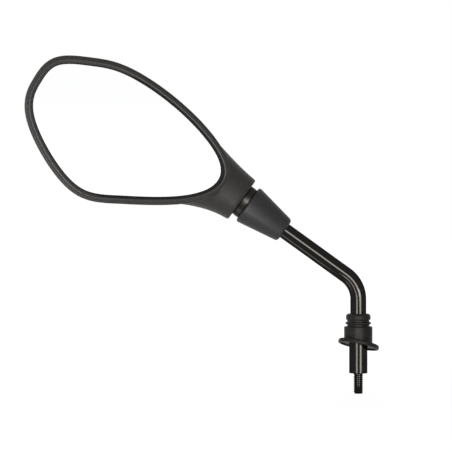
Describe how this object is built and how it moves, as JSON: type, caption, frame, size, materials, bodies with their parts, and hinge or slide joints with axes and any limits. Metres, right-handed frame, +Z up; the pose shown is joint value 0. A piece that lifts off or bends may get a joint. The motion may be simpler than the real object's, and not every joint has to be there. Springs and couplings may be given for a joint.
{
  "type": "motorcycle mirror",
  "caption": "Left-hand handlebar mirror: convex glass in a teardrop head on a ball joint, a bent tube stem, a sliding cone cover, a rubber boot and a threaded foot.",
  "frame": {"origin": "on the foot stud's axis, at the shoulder that meets the perch", "axes": "+Z up along the stem's foot, +X to the right as the rider sees it, the glass faces -Y"},
  "size_m": [0.3037, 0.0865, 0.2907],
  "materials": {
    "head_plastic": "fine moulded texture, matt black",
    "cone_plastic": "matt black with a bluish cast",
    "boot_rubber": "matt warm black",
    "seal_rubber": "matt black",
    "stem_paint": "gloss black powder coat",
    "foot_paint": "gloss black sleeve, blackened thread",
    "ball_paint": "satin black",
    "zinc_steel": "zinc plated",
    "spring_steel": "oiled spring steel",
    "acetal": "natural acetal",
    "mirror": "silvered convex glass",
    "pad_foam": "black adhesive foam",
    "carrier_plastic": "moulded black plastic"
  },
  "bodies": {
    "stem": {"threaded_foot": "foot_paint", "stem_tube": "stem_paint", "end_plug": "zinc_steel", "lock_nut": "zinc_steel", "pivot_stud": "zinc_steel", "pivot_ball": "ball_paint", "pressure_cup": "zinc_steel", "joint_spring": "spring_steel", "spring_washer": "zinc_steel", "tension_nut": "zinc_steel"},
    "ball_shell": {"ball_liner": "acetal"},
    "cup_shell": {"cup_liner": "acetal"},
    "head": {"housing": "head_plastic", "socket_bracket": "zinc_steel", "bracket_screws": "zinc_steel", "neck_seal": "seal_rubber", "mirror_glass": "mirror", "glass_pad": "pad_foam", "glass_carrier": "carrier_plastic", "carrier_screws": "zinc_steel"},
    "cone": {"cone_cover": "cone_plastic"},
    "boot": {"rubber_boot": "boot_rubber"}
  },
  "joints": [
    {"name": "head_spin", "type": "hinge", "parent": "stem", "child": "ball_shell", "pos_m": [-0.09944, 0, 0.14972], "axis": [-0.8111, 0, 0.585], "continuous": true},
    {"name": "head_pan", "type": "hinge", "parent": "ball_shell", "child": "cup_shell", "pos_m": [-0.09944, 0, 0.14972], "axis": [0.585, 0, 0.8111], "range_deg": [-10, 10]},
    {"name": "head_tilt", "type": "hinge", "parent": "cup_shell", "child": "head", "pos_m": [-0.09944, 0, 0.14972], "axis": [0, 1, 0], "range_deg": [-10, 10]},
    {"name": "cone_slide", "type": "slide", "parent": "stem", "child": "cone", "axis": [0.8111, 0, -0.585], "range_m": [0, 0.045]},
    {"name": "boot_slide", "type": "slide", "parent": "stem", "child": "boot", "axis": [0, 0, 1], "range_m": [0, 0.012]}
  ]
}
